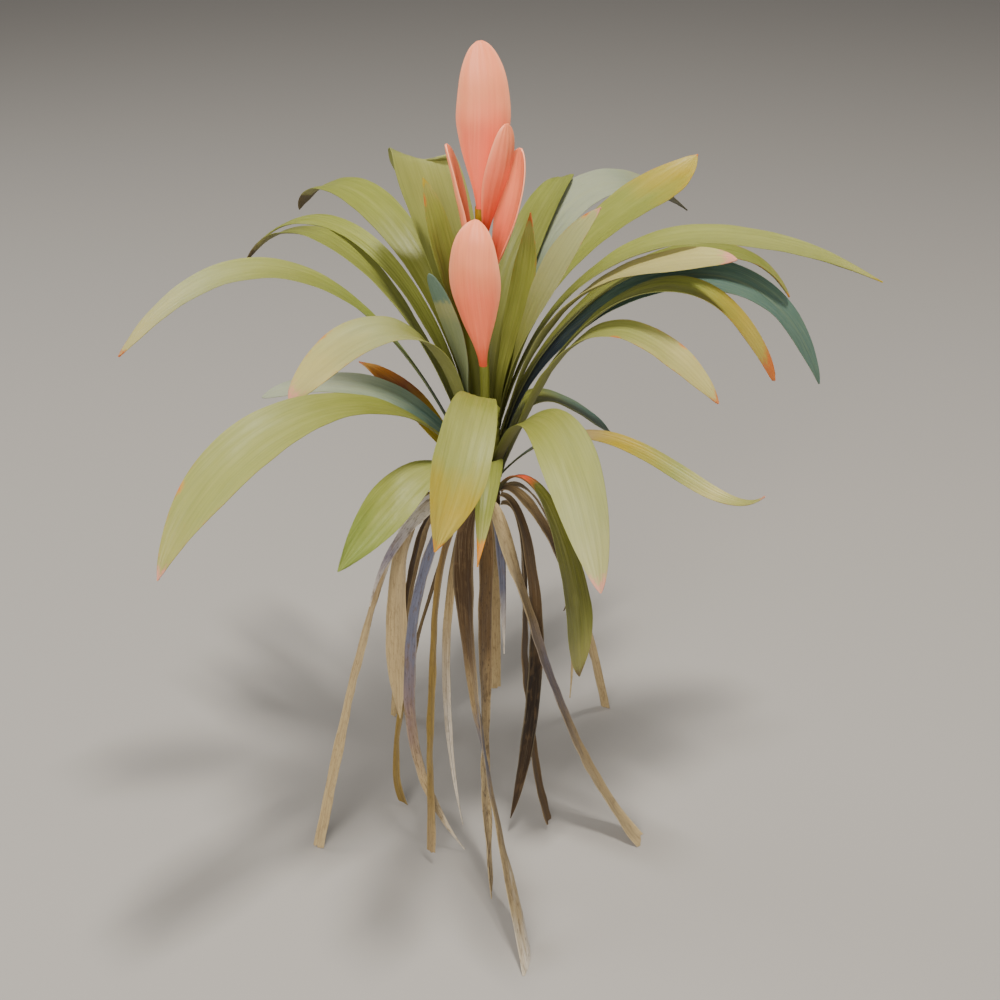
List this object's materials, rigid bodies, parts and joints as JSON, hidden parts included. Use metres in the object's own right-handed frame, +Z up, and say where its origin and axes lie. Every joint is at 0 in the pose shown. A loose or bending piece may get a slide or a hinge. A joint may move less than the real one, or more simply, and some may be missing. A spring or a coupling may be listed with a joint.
{
  "type": "bromeliad plant",
  "caption": "Unpotted bromeliad: a rosette of arching strap leaves, coral bracts on a short stalk, and a skirt of long dry leaves that it stands on.",
  "frame": {"origin": "centre of the footprint, on the surface that the plant stands on", "axes": "+Z up along the stalk; -Y towards the broad front leaves; millimetre sizes along X and Y are the spread of the leaves"},
  "size_m": [0.4328, 0.3494, 0.5093],
  "materials": {
    "brown_dry_leaf": "matt, fibrous",
    "stem": "matt",
    "blue_green_leaf": "satin",
    "green_leaf": "satin",
    "straw_dry_leaf": "matt, fibrous",
    "bract": "satin"
  },
  "bodies": {
    "root": {"stem": "stem", "flower_stalk": "stem", "bract_lowest": "bract", "bract_left": "bract", "bract_right": "bract", "bract_small": "bract", "bract_top": "bract", "leaf_outer_front_left": "green_leaf", "leaf_outer_front_hanging": "green_leaf", "leaf_outer_front_folded": "green_leaf", "leaf_outer_left_bluish": "blue_green_leaf", "leaf_outer_back_left": "green_leaf", "leaf_outer_back_right": "green_leaf", "leaf_outer_right_twisted": "green_leaf", "leaf_front_left_broad": "green_leaf", "leaf_front_broad": "green_leaf", "leaf_front_right_broad": "green_leaf", "leaf_left_arched": "green_leaf", "leaf_left_long": "green_leaf", "leaf_right_low": "green_leaf", "leaf_right_middle": "green_leaf", "leaf_right_blue": "blue_green_leaf", "leaf_back_left_curled": "green_leaf", "leaf_back_left_long": "green_leaf", "leaf_right_under": "green_leaf", "leaf_right_pale": "green_leaf", "leaf_right_long": "green_leaf", "leaf_back_left_tall": "green_leaf", "leaf_back_right_ochre": "green_leaf", "leaf_back_right_blue": "blue_green_leaf", "leaf_back_right_tall": "green_leaf", "leaf_back_creased": "green_leaf", "leaf_inner_left": "green_leaf", "leaf_inner_front_left": "green_leaf", "leaf_inner_right": "green_leaf", "leaf_inner_back_right": "green_leaf", "leaf_outer_back": "green_leaf", "leaf_back_low": "green_leaf", "dry_leaf_foot_front": "straw_dry_leaf", "dry_leaf_foot_left": "straw_dry_leaf", "dry_leaf_foot_right": "straw_dry_leaf", "dry_leaf_foot_back_right": "straw_dry_leaf", "dry_leaf_foot_back_left": "straw_dry_leaf", "dry_leaf_spike_left": "straw_dry_leaf", "dry_leaf_pale_left": "straw_dry_leaf", "dry_leaf_long_left": "straw_dry_leaf", "dry_leaf_curled_left": "straw_dry_leaf", "dry_leaf_front_left": "straw_dry_leaf", "dry_leaf_split_left": "straw_dry_leaf", "dry_leaf_mottled_front": "straw_dry_leaf", "dry_leaf_spike_front": "straw_dry_leaf", "dry_leaf_dark_right": "brown_dry_leaf", "dry_leaf_brown_right": "brown_dry_leaf", "dry_leaf_spike_right": "brown_dry_leaf", "dry_leaf_back_right": "straw_dry_leaf", "dry_leaf_back": "straw_dry_leaf", "dry_leaf_back_left": "brown_dry_leaf", "dry_leaf_left": "brown_dry_leaf"}
  },
  "joints": []
}
